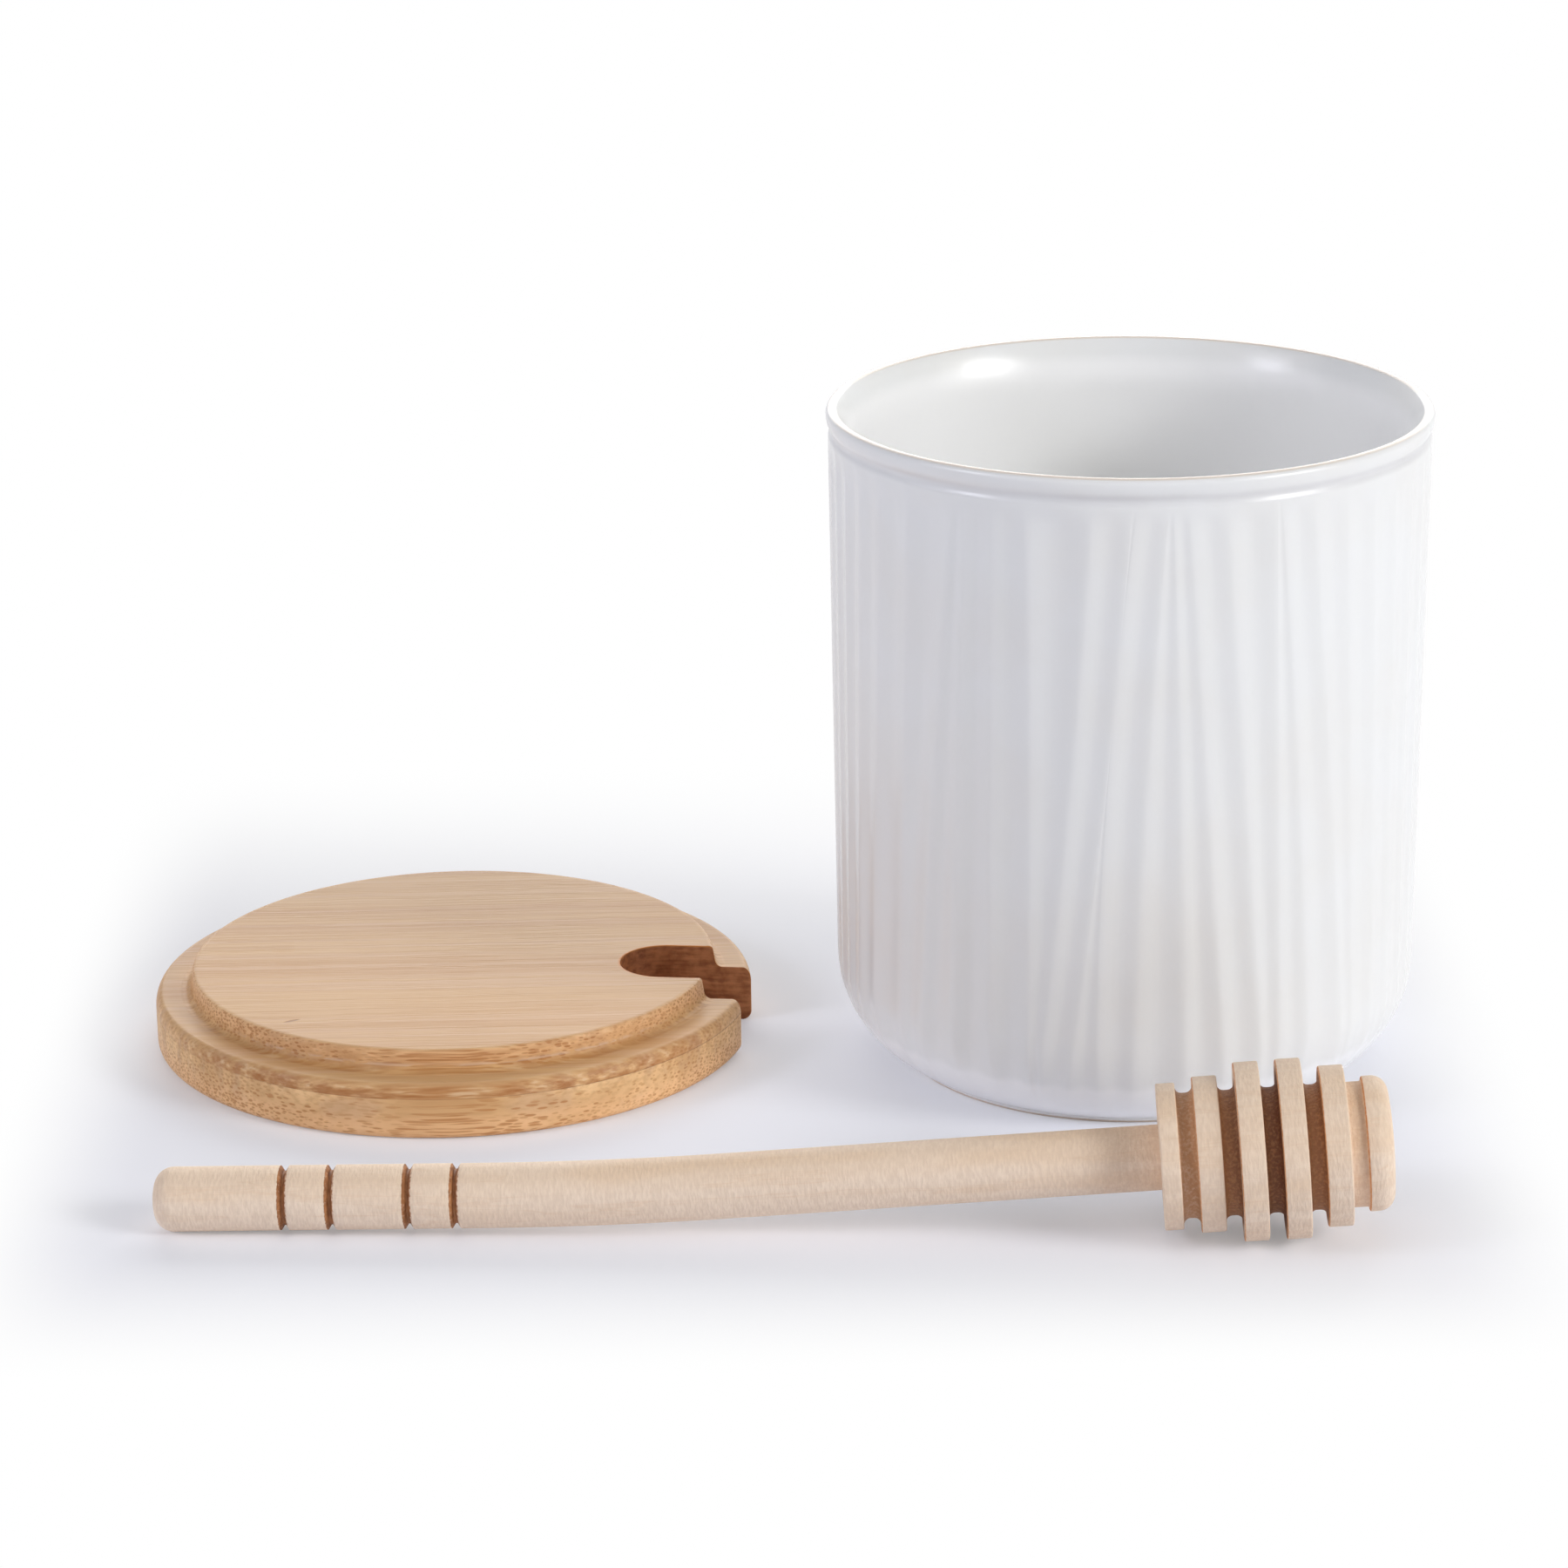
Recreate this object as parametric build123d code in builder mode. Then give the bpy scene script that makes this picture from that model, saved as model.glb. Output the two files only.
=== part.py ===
"""Honey pot in white glazed stoneware, with a loose bamboo lid and a turned wooden honey dipper.

Millimetres, +Z up. The origin is the centre of the pot's foot, on the table. The lid lies upside
down to the left of the pot, its plug up and its slot towards +X. The dipper lies across the front.
"""

import os
from math import asin, atan2, cos, degrees, hypot, radians, sin, sqrt

from build123d import *

# ---- driving dimensions: the pot
pot_height = 87.5
rim_radius = 39.0  # widest point of the rolled rim
rim_round = 1.2  # from the rim's widest point in to its crest
lip_round = 2.2  # from the crest in to the mouth
rim_bead_height = 2.8  # from the crest down to the groove under the rim
rim_groove_depth = 0.6  # how far the groove lies inside the rim
rim_groove_height = 1.0
wall_inset = 0.25  # how far the top of the wall lies inside the rim
wall_taper = 0.7  # how much narrower the wall is where it starts to turn under
foot_inset = 8.55  # from there in to the foot
foot_corner_radius = 14.2
foot_band_height = 0.6  # bare clay between the table and the glaze
foot_ring_width = 3.0
foot_recess_depth = 1.2
mouth_depth = 12.0  # straight part of the mouth, which guides the lid
inside_taper = 0.9  # how much narrower the inside is where it turns to the floor
inner_corner_radius = 10.0
floor_thickness = 5.0  # from the table to the inside of the pot

# The flutes were pared by hand, so no two are alike. Each pair is a ridge between two of them, in
# degrees from the front, at the top of the wall and at the foot. The back repeats the front half.
ridges = (
    (-84.5, -85.5), (-78.0, -80.3), (-71.5, -75.0), (-64.5, -69.3), (-57.4, -63.0), (-49.1, -54.0),
    (-38.2, -49.0), (-35.5, -39.9), (-29.6, -30.9), (-23.1, -23.0), (-10.8, -22.0), (-3.6, -16.4),
    (-2.6, -8.7), (3.0, -2.2), (4.0, 8.0), (6.9, 16.8), (13.9, 24.6), (23.7, 28.0), (24.7, 34.7),
    (31.8, 44.7), (39.9, 47.1), (47.5, 53.5), (55.0, 59.5), (62.0, 65.5), (69.0, 71.5),
    (75.8, 77.5), (82.5, 83.5), (89.0, 89.5),
)
flute_ratio = 0.07  # a flute's depth for each mm of its width
ridge_paring = 0.05  # how far the ridges lie inside the wall as it was cast
flute_run_out = 0.06  # how far the deepest flute stays short of the bottom of the rim's groove

# ---- driving dimensions: the lid
lid_clearance = 0.35  # radial gap between the plug and the mouth
lid_overhang = 1.05  # how far the flange stands out past the rim
lid_thickness = 10.4
flange_thickness = 7.5
cap_ply_thickness = 5.6  # the ply that is on top when the lid is on
flange_edge_round = 1.3
plug_root_round = 1.0
plug_edge_bevel = 0.35
slot_side_clearance = 2.07  # on each side of the dipper's stick
slot_depth = 17.35  # from the flange's edge to the bottom of the slot
lid_gap = 11.0  # between the lid's edge and the pot's rim
lid_bearing = 175.22  # degrees from +X to the lid, seen from the pot
slot_direction = -6.2  # degrees from +X
thinnest_edge = 0.2  # what a rounded or bevelled edge leaves of its wall

# ---- driving dimensions: the dipper
stick_radius = 3.96
stick_length = 122.5  # from the tail's tip to the first disc
tail_dome = 2.4
straight_tail = 40.0
bowed_length = 29.5  # the stretch of stick that has bowed in drying
bow_angle = 3.36
tail_x = -122.34  # the tail's tip
tail_gap = 20.53  # from the front of the pot's rim to the stick's centre line at its tail
dipper_direction = -2.54  # degrees from +X
burnt_rings = (15.6, 21.3, 30.8, 36.5)  # from the tail's tip
burnt_ring_width = 1.05
burnt_ring_depth = 0.65
disc_radii = (8.85, 9.4, 10.8, 10.85, 9.7, 8.15)
first_disc_thickness = 2.3
disc_thickness = 3.0
end_disc_thickness = 3.5
end_disc_round = 1.6
disc_gap = 2.07
core_radius = 7.55
disc_edge_bevel = 0.3
gap_root_bevel = 0.45

os.makedirs("parts", exist_ok=True)


# ---- the pot: one slip-cast, glazed piece, a full turn of one profile
rim_crest_radius = rim_radius - rim_round
mouth_radius = rim_crest_radius - lip_round
inner_foot_radius = mouth_radius - inside_taper
wall_top_radius = rim_radius - wall_inset
wall_foot_radius = wall_top_radius - wall_taper
foot_radius = wall_foot_radius - foot_inset
rim_bottom = pot_height - rim_bead_height
wall_top = rim_bottom - rim_groove_height
groove_radius = rim_radius - rim_groove_depth
wall_foot = foot_band_height + sqrt(foot_corner_radius**2 - (foot_corner_radius - foot_inset) ** 2)
mouth_top = pot_height - lip_round
mouth_bottom = mouth_top - mouth_depth
inner_wall_foot = floor_thickness + inner_corner_radius
foot_ring_inside = foot_radius - foot_ring_width
wall_slope = wall_taper / (wall_top - wall_foot)
table_radius = wall_foot_radius - wall_slope * wall_foot  # of the wall, if it ran on to the table
front_half = zip(*ridges)
top_ridges, foot_ridges = (
    (*directions, *(direction + 180 for direction in directions)) for directions in front_half
)
run_out_depth = rim_groove_depth - wall_inset - ridge_paring - flute_run_out
fluted_sections = (
    (0, table_radius - ridge_paring, foot_ridges, rim_radius),
    (rim_bottom, wall_top_radius - ridge_paring, top_ridges, run_out_depth),
)

with BuildPart() as pot:
    with BuildSketch(Plane.XZ):
        with BuildLine():
            foot = Polyline(
                (0, foot_recess_depth),
                (foot_ring_inside - foot_recess_depth, foot_recess_depth),
                (foot_ring_inside, 0),
                (foot_radius, 0),
                (foot_radius, foot_band_height),
            )
            corner = RadiusArc(foot @ 1, (wall_foot_radius, wall_foot), -foot_corner_radius)
            wall = Line(corner @ 1, (wall_top_radius, wall_top))
            groove = Spline(
                wall @ 1,
                (groove_radius, rim_bottom),
                (rim_radius, pot_height - rim_round),
                tangents=(wall % 1, (0, 1)),
            )
            rim = JernArc(groove @ 1, (0, 1), rim_round, 90)
            lip = JernArc(rim @ 1, (-1, 0), lip_round, 90)
            mouth = Line(lip @ 1, (mouth_radius, mouth_bottom))
            inner_wall = Line(mouth @ 1, (inner_foot_radius, inner_wall_foot))
            inner_corner = RadiusArc(
                inner_wall @ 1,
                (inner_foot_radius - inner_corner_radius, floor_thickness),
                inner_corner_radius,
            )
            floor = Line(inner_corner @ 1, (0, floor_thickness))
            Line(floor @ 1, foot @ 0)
        make_face()
    revolve(axis=Axis.Z)

    # the fluted wall, ruled from its section at the table to one in the groove, below a plain disc
    with BuildPart(mode=Mode.INTERSECT):
        for height, radius, directions, deepest in fluted_sections:
            corners = [Vector(0, -radius).rotate(Axis.Z, direction) for direction in directions]
            with BuildSketch(Plane.XY.offset(height)):
                with BuildLine():
                    for start, end in zip(corners, corners[1:] + corners[:1]):
                        width = (end - start).length
                        depth = min(flute_ratio * width, deepest)
                        SagittaArc(start, end, depth - width**2 / (8 * radius))
                make_face()
        loft(ruled=True)
        with BuildSketch(Plane.XY.offset(rim_bottom)):
            Circle(2 * rim_radius)
        extrude(amount=rim_bead_height)
pot.part.label = "pot"
export_step(pot.part, "parts/pot.step")


# ---- the lid: a board of two bamboo plies glued flat, turned to a flange and a plug, then slotted
plug_radius = mouth_radius - lid_clearance
flange_radius = rim_radius + lid_overhang
slot_width = 2 * (stick_radius + slot_side_clearance)
slot_end = flange_radius - slot_depth + slot_width / 2  # centre of the slot's round end
lid_centre = Vector(rim_radius + lid_gap + flange_radius, 0).rotate(Axis.Z, lid_bearing)
lid_heading = (cos(radians(slot_direction)), sin(radians(slot_direction)), 0)
lid_plane = Plane(origin=lid_centre, x_dir=lid_heading, z_dir=(0, 0, 1))
glue_plane = lid_plane.offset(cap_ply_thickness)
step_thickness = flange_thickness - cap_ply_thickness  # of the flange, on the plug's ply
plug_height = lid_thickness - flange_thickness
step_round = min(flange_edge_round, step_thickness - thinnest_edge)
root_round = min(plug_root_round, plug_height - plug_edge_bevel - thinnest_edge)


# the dipper's slot, from the lid's edge to a round end
with BuildSketch(lid_plane) as slot:
    with Locations((slot_end, 0)):
        Circle(slot_width / 2)
        Rectangle(flange_radius, slot_width, align=(Align.MIN, Align.CENTER))

with BuildPart() as lid_cap_ply:
    with BuildSketch(lid_plane):
        Circle(flange_radius)
    extrude(amount=cap_ply_thickness)
    fillet(lid_cap_ply.edges().sort_by(Axis.Z)[0], flange_edge_round)
    extrude(slot.sketch, amount=lid_thickness, mode=Mode.SUBTRACT)
lid_cap_ply.part.label = "lid_cap_ply"
export_step(lid_cap_ply.part, "parts/lid_cap_ply.step")

with BuildPart() as lid_plug_ply:
    with BuildSketch(glue_plane):
        Circle(flange_radius)
    extrude(amount=step_thickness)
    fillet(lid_plug_ply.edges().sort_by(Axis.Z)[-1], step_round)
    with BuildSketch(lid_plane.offset(flange_thickness)):
        Circle(plug_radius)
    extrude(amount=plug_height)
    plug_rings = lid_plug_ply.edges(Select.LAST).filter_by(GeomType.CIRCLE).sort_by(Axis.Z)
    fillet(plug_rings[0], root_round)
    chamfer(plug_rings[-1], plug_edge_bevel)
    extrude(slot.sketch, amount=lid_thickness, mode=Mode.SUBTRACT)
lid_plug_ply.part.label = "lid_plug_ply"
export_step(lid_plug_ply.part, "parts/lid_plug_ply.step")


# ---- the dipper: one piece of pale wood, turned, its stick slightly bowed
disc_thicknesses = (first_disc_thickness, *[disc_thickness] * 4, end_disc_thickness)
disc_starts = [sum(disc_thicknesses[:i]) + i * disc_gap for i in range(len(disc_radii))]
head_length = disc_starts[-1] + end_disc_thickness
straight_neck = stick_length - straight_tail - bowed_length
bow_radius = bowed_length / radians(bow_angle)
neck_heading = Vector(cos(radians(bow_angle)), sin(radians(bow_angle)))
neck_down = Vector(neck_heading.Y, -neck_heading.X)
head_start = (
    Vector(straight_tail, bow_radius) + bow_radius * neck_down + straight_neck * neck_heading
)

# The tail's rounded end and one disc's edge touch the table. Each disc would need its own tilt for
# that, and the largest of them lifts all the others clear.
tail_edge = Vector(tail_dome, tail_dome - stick_radius)
disc_edges = [
    head_start + (start + disc_edge_bevel) * neck_heading + radius * neck_down
    for start, radius in zip(disc_starts, disc_radii)
]
tilt = max(
    degrees(asin(-tail_dome / (edge - tail_edge).length))
    - degrees(atan2((edge - tail_edge).Y, (edge - tail_edge).X))
    for edge in disc_edges
)
tip_height = tail_dome - tail_edge.rotate(Axis.Z, tilt).Y
dipper_side = Vector(0, -1, 0).rotate(Axis.Z, dipper_direction)
dipper_heading = (
    Vector(1, 0, 0).rotate(Axis.Z, dipper_direction).rotate(Axis((0, 0, 0), dipper_side), tilt)
)
tail_tip = Vector(tail_x, -rim_radius - tail_gap, tip_height)
dipper_plane = Plane(origin=tail_tip, x_dir=dipper_heading, z_dir=dipper_side)

with BuildPart() as dipper:
    with BuildLine(dipper_plane) as stick_axis:
        tail = Line((0, 0), (straight_tail, 0))
        bow = JernArc(tail @ 1, tail % 1, bow_radius, bow_angle)
        neck = PolarLine(bow @ 1, straight_neck, direction=bow % 1)

    with BuildSketch(dipper_plane) as tail_half:
        Rectangle(straight_tail, stick_radius, align=Align.MIN)
        fillet(tail_half.vertices().group_by(Axis.X)[0].sort_by(Axis.Y)[-1], tail_dome)
        for ring in burnt_rings:
            with Locations((ring, stick_radius)):
                Triangle(
                    a=burnt_ring_width,
                    b=hypot(burnt_ring_width / 2, burnt_ring_depth),
                    c=hypot(burnt_ring_width / 2, burnt_ring_depth),
                    align=(Align.CENTER, Align.MAX),
                    rotation=180,
                    mode=Mode.SUBTRACT,
                )
    revolve(axis=Axis(tail @ 0, tail % 0))
    with BuildSketch(Plane(origin=bow @ 0, z_dir=bow % 0)):
        Circle(stick_radius)
    sweep(path=Wire([bow, neck]))

    with BuildSketch(Plane(origin=neck @ 1, x_dir=neck % 1, z_dir=dipper_side)) as head_half:
        Rectangle(head_length, core_radius, align=Align.MIN)
        for start, thickness, radius in zip(disc_starts, disc_thicknesses, disc_radii):
            with Locations((start, 0)):
                Rectangle(thickness, radius, align=Align.MIN)
        gap_roots, *disc_rims = head_half.vertices().group_by(Axis.Y)[1:]
        disc_corners = ShapeList(corner for rim in disc_rims for corner in rim).sort_by(Axis.X)
        chamfer(gap_roots, gap_root_bevel)
        chamfer(disc_corners[:-1], disc_edge_bevel)
        fillet(disc_corners[-1], end_disc_round)
    revolve(axis=Axis(neck @ 1, neck % 1))
dipper.part.label = "dipper"
export_step(dipper.part, "parts/dipper.step")
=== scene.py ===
"""Honey pot in white glazed stoneware, with a loose bamboo lid and a turned wooden honey dipper.

Each piece is modelled in millimetres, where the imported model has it, and brought to metres when it
is finished. The lid lies upside down to the left of the pot, and the dipper lies across the front.
"""

from math import asin, atan2, cos, hypot, pi, radians, sin, sqrt

import bmesh
import bpy
from mathutils import Matrix, Vector
from mathutils.geometry import interpolate_bezier


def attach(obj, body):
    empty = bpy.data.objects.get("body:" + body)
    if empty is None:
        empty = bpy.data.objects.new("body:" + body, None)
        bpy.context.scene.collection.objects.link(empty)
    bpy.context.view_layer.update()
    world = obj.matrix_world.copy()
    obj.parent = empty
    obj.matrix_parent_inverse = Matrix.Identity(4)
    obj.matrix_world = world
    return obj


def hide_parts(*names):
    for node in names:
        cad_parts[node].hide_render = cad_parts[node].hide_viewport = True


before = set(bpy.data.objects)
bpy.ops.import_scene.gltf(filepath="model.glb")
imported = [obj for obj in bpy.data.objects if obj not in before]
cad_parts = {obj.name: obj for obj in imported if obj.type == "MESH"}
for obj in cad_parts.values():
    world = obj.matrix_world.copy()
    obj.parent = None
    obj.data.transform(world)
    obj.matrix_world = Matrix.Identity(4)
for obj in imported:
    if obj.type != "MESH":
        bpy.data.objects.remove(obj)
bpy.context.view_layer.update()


# ---- The pot
# One slip-cast stoneware body with shallow flutes down its wall, a rolled rim and a bare foot ring.
# It was dipped in a white satin glaze, which runs thin on the rim. The groove below is greyed with
# painted shade, and the inside is lightened with painted light.

pot_height = 87.5
rim_radius = 39.0
rim_round = 0.85
lip_round = 0.75
lip_turn = 58
wall_top_radius = 38.7
wall_top = 83.7
wall_foot_radius = 38.0
wall_foot = 13.63
foot_corner_radius = 14.2
foot_radius = 29.5
foot_edge_round = 0.3
bare_foot_height = 0.6
ring_bevel_inside = 26.25
ring_bevel_height = 0.12
ring_bevel_outside = 26.65
recess_radius = 24.9
foot_recess = 1.2
wall_top_run = 2.4
groove_radius = 38.42
groove_height = 84.6
groove_entry_height = 84.1
groove_side_height = 84.2
bead_entry_height = 85.2
bead_side_height = 85.3
mouth_radius = 35.6
mouth_flare_foot = 80.8
flare_width = 0.65
flare_top_height = 85.0
flare_foot_height = 83.0
mouth_bottom = 73.3
inner_foot_radius = 34.7
inner_corner_radius = 10.0
floor_height = 5.0
joining_distance = 0.0005

# The ridges over half a turn, in degrees from the front: at the top, halfway and at the foot.
ridges = (
    (-84.5, -85.0, -85.5), (-78.0, -79.0, -80.3), (-71.5, -73.2, -75.0), (-64.5, -67.0, -69.3),
    (-57.4, -60.2, -63.0), (-49.1, -51.5, -54.0), (-38.2, -43.7, -49.0), (-35.5, -37.7, -39.9),
    (-29.6, -30.3, -30.9), (-23.1, -22.4, -23.0), (-10.8, -15.1, -22.0), (-3.6, -8.7, -16.4),
    (-2.6, -7.9, -8.7), (3.0, -0.6, -2.2), (4.0, 6.4, 8.0), (6.9, 11.7, 16.8),
    (13.9, 19.2, 24.6), (23.7, 25.6, 28.0), (24.7, 30.6, 34.7), (31.8, 38.3, 44.7),
    (39.9, 43.5, 47.1), (47.5, 50.5, 53.5), (55.0, 57.0, 59.5), (62.0, 63.5, 65.5),
    (69.0, 70.0, 71.5), (75.8, 76.5, 77.5), (82.5, 83.0, 83.5), (89.0, 89.2, 89.5),
)
flute_steps = 11
flute_gather = 0.5
flute_ratio = 0.078
ridge_softness = 0.8
ridge_softness_share = 0.19
relief_top = 84.0
relief_top_fade = 3.6
relief_foot = 1.2
relief_foot_fade = 10.0

# The flutes are shallower round a bearing on the right, in degrees from the front: by the whole
# share within one spread of it, and by less and less until two spreads away.
shallow_side = 75.0
shallow_spread = 35.0
shallow_share = 0.35


def carry_on(template, point, radius, height, steps=1):
    """Draw the template's line straight on, to a radius and a height."""
    start = point.co.copy()
    end = Vector((radius, 0, height))
    for step in range(steps):
        point = bmesh.ops.extrude_vert_indiv(template, verts=[point])["verts"][0]
        point.co = start.lerp(end, (step + 1) / steps)
    return point


def swing(template, point, radius, height, turn, steps):
    """Draw the line on in an arc about a centre, by so many degrees, clockwise if above 0."""
    arc = bmesh.ops.spin(
        template,
        geom=[point],
        cent=(radius, 0, height),
        axis=(0, 1, 0),
        angle=radians(turn),
        steps=steps,
    )
    return next(end for end in arc["geom_last"] if isinstance(end, bmesh.types.BMVert))


def sway(template, point, first_pull, last_pull, end, steps):
    """Draw the line on in a free curve, pulled on its way towards two places, radius and height."""
    knots = [Vector((radius, 0, height)) for radius, height in (first_pull, last_pull, end)]
    for place in interpolate_bezier(point.co, *knots, steps + 1)[1:]:
        point = bmesh.ops.extrude_vert_indiv(template, verts=[point])["verts"][0]
        point.co = place
    return point


def turn_full(template, columns):
    """Turn the template an eighth of the way round the vertical axis, repeat that and join up."""
    bmesh.ops.spin(
        template,
        geom=template.verts[:] + template.edges[:],
        cent=(0, 0, 0),
        axis=(0, 0, 1),
        angle=pi / 4,
        steps=columns // 8,
    )
    for turn in (pi / 4, pi / 2, pi):
        whole = template.verts[:] + template.edges[:] + template.faces[:]
        copied = bmesh.ops.duplicate(template, geom=whole)["geom"]
        copied_points = [part for part in copied if isinstance(part, bmesh.types.BMVert)]
        bmesh.ops.rotate(template, matrix=Matrix.Rotation(turn, 3, "Z"), verts=copied_points)
    bmesh.ops.remove_doubles(template, verts=template.verts, dist=joining_distance)


def finish_piece(shape, name, material, body, nodes, crease):
    """Bring a shape from millimetres to metres and hand it over as one finished piece."""
    bmesh.ops.recalc_face_normals(shape, faces=shape.faces)
    bmesh.ops.scale(shape, vec=(0.001, 0.001, 0.001), verts=shape.verts)
    mesh = bpy.data.meshes.new(name)
    shape.to_mesh(mesh)
    shape.free()
    mesh.shade_smooth()
    mesh.set_sharp_from_angle(angle=radians(crease))
    mesh.materials.append(material)
    piece = bpy.data.objects.new(name, mesh)
    bpy.context.scene.collection.objects.link(piece)
    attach(piece, body)
    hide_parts(*nodes)


def ridge_angle(number, drop):
    """The direction of a ridge, in degrees from the front, at a share of the way down the wall."""
    half_turns, ridge = divmod(number, len(ridges))
    top, middle, foot = ridges[ridge]
    path = (
        top * (1 - drop) * (1 - 2 * drop)
        + middle * 4 * drop * (1 - drop)
        + foot * drop * (2 * drop - 1)
    )
    return path + 180 * half_turns


def steady(value):
    """Ease a value from 0 to 1 with no corner at either end."""
    value = min(max(value, 0), 1)
    return value * value * (3 - 2 * value)


clay = bmesh.new()
drop_layer = clay.verts.layers.float.new("drop")
relief_layer = clay.verts.layers.float.new("relief")

point = clay.verts.new((0, 0, foot_recess))
point = carry_on(clay, point, recess_radius, foot_recess, steps=2)
point = carry_on(clay, point, ring_bevel_inside, ring_bevel_height, steps=2)
point = carry_on(clay, point, ring_bevel_outside, 0)
point = carry_on(clay, point, foot_radius - foot_edge_round, 0, steps=3)
point = swing(clay, point, foot_radius - foot_edge_round, foot_edge_round, turn=-90, steps=4)
point = carry_on(clay, point, foot_radius, bare_foot_height)
corner_centre = wall_foot_radius - foot_corner_radius
corner_start = asin((foot_radius - corner_centre) / foot_corner_radius)
corner_turn = 90 - corner_start * 180 / pi
point = swing(clay, point, corner_centre, wall_foot, turn=-corner_turn, steps=18)
point = carry_on(clay, point, wall_top_radius, wall_top - wall_top_run, steps=36)
point = carry_on(clay, point, wall_top_radius, wall_top, steps=6)
outside = clay.verts[:]
into_groove = (wall_top_radius, groove_entry_height)
groove_side = (groove_radius, groove_side_height)
point = sway(clay, point, into_groove, groove_side, (groove_radius, groove_height), steps=5)
out_of_groove = (groove_radius, bead_entry_height)
under_bead = (rim_radius, bead_side_height)
point = sway(clay, point, out_of_groove, under_bead, (rim_radius, pot_height - rim_round), steps=7)
crest_radius = rim_radius - rim_round
point = swing(clay, point, crest_radius, pot_height - rim_round, turn=-90, steps=8)
point = swing(clay, point, crest_radius, pot_height - lip_round, turn=-lip_turn, steps=8)
flare_top = (mouth_radius + flare_width, flare_top_height)
flare_foot = (mouth_radius, flare_foot_height)
point = sway(clay, point, flare_top, flare_foot, (mouth_radius, mouth_flare_foot), steps=14)
point = carry_on(clay, point, mouth_radius, mouth_bottom, steps=3)
inner_corner_top = floor_height + inner_corner_radius
point = carry_on(clay, point, inner_foot_radius, inner_corner_top, steps=12)
corner_inside = inner_foot_radius - inner_corner_radius
point = swing(clay, point, corner_inside, inner_corner_top, turn=90, steps=14)
carry_on(clay, point, 0, floor_height, steps=4)
for wall in outside:
    wall[drop_layer] = min((wall_top - wall.co.z) / wall_top, 1)
    top_fade = steady((relief_top - wall.co.z) / relief_top_fade)
    wall[relief_layer] = top_fade * steady((wall.co.z - relief_foot) / relief_foot_fade)

flutes = 2 * len(ridges)
columns = flutes * flute_steps
turn_full(clay, columns)
for grain in clay.verts:
    radius = hypot(grain.co.x, grain.co.y)
    if radius < joining_distance:
        continue
    column = round(atan2(grain.co.y, grain.co.x) / (2 * pi) * columns) % columns
    flute, step = divmod(column, flute_steps)
    left = ridge_angle(flute, grain[drop_layer])
    right = ridge_angle(flute + 1, grain[drop_layer])
    # Columns gather towards the ridges, and each flute is a shallow arch between two soft ridges.
    share = step / flute_steps
    share -= flute_gather * sin(2 * pi * share) / (2 * pi)
    width = radians(right - left) * radius
    soft = min(ridge_softness, ridge_softness_share * width)
    away = sqrt((min(share, 1 - share) * width) ** 2 + soft**2) - soft
    angle = radians(left + (right - left) * share)
    off_side = abs((left - shallow_side + 180) % 360 - 180)
    shallow = 1 - shallow_share * steady(2 - off_side / shallow_spread)
    hollow = 4 * away * (1 - away / width) * flute_ratio * shallow * grain[relief_layer]
    grain.co.x = (radius - hollow) * sin(angle)
    grain.co.y = -(radius - hollow) * cos(angle)


def shade(tree, kind, inputs=None, **settings):
    """Add a shader node whose inputs take plain values or another node's output."""
    made = tree.nodes.new("ShaderNode" + kind)
    for name, value in settings.items():
        setattr(made, name, value)
    for socket, value in (inputs or {}).items():
        if isinstance(value, bpy.types.NodeSocket):
            tree.links.new(value, made.inputs[socket])
        else:
            made.inputs[socket].default_value = value
    return made


def colour(red, green, blue):
    """A colour given in the 0 to 255 steps of a paint chart."""
    steps = [level / 255 for level in (red, green, blue)]
    return (*[s / 12.92 if s < 0.04045 else ((s + 0.055) / 1.055) ** 2.4 for s in steps], 1)


def tint(tree, share, first, second, blend="MIX"):
    """Mix two colours by a share."""
    mixed = shade(tree, "Mix", {0: share, 6: first, 7: second}, data_type="RGBA", blend_type=blend)
    return mixed.outputs[2]


def sum_up(tree, operation, *values):
    """Work out one number from others."""
    return shade(tree, "Math", dict(enumerate(values)), operation=operation).outputs[0]


def ease(tree, value, low, high, at_low=0.0, at_high=1.0):
    """Carry a value from one range to another with soft ends."""
    span = {"From Min": low, "From Max": high, "To Min": at_low, "To Max": at_high}
    eased = shade(tree, "MapRange", {"Value": value, **span}, interpolation_type="SMOOTHSTEP")
    return eased.outputs[0]


def attribute(tree, name, output="Fac"):
    """Read what a piece's own points carry."""
    return shade(tree, "Attribute", attribute_name=name).outputs[output]


def drawn_out(tree, along, scale, detail):
    """Soft noise, drawn out by a scale for each direction."""
    run = shade(tree, "Mapping", {"Vector": along, "Scale": scale}).outputs[0]
    return shade(tree, "TexNoise", {"Vector": run, "Scale": 1.0, "Detail": detail}).outputs["Fac"]


def new_finish(name, roughness, **settings):
    """Start a material and give back its nodes and its shader."""
    material = bpy.data.materials.new(name)
    material.use_nodes = True
    tree = material.node_tree
    shader = tree.nodes["Principled BSDF"]
    shader.inputs["Roughness"].default_value = roughness
    for socket, value in settings.items():
        shader.inputs[socket.replace("_", " ")].default_value = value
    return material, tree, shader


glaze_white = colour(243, 244, 243)
glaze_warm = colour(238, 233, 224)
glaze_thin = colour(232, 214, 196)
glaze_groove_shade = colour(212, 211, 213)
glaze_inside_painted_light = colour(252, 252, 251)
bisque = colour(218, 200, 184)
glaze_roughness = 0.23
bisque_roughness = 0.85

# Heights and reaches in metres between which one finish gives way to the next.
inside_edge = (0.0368, 0.0360)
outside_edge = (0.0370, 0.0375)
crest_edge = (0.0872, 0.08745)
groove_middle = 0.0846
groove_edge = (0.0011, 0.0002)
bare_edge = (0.00055, 0.00045)
bare_waver = 0.0004

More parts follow.
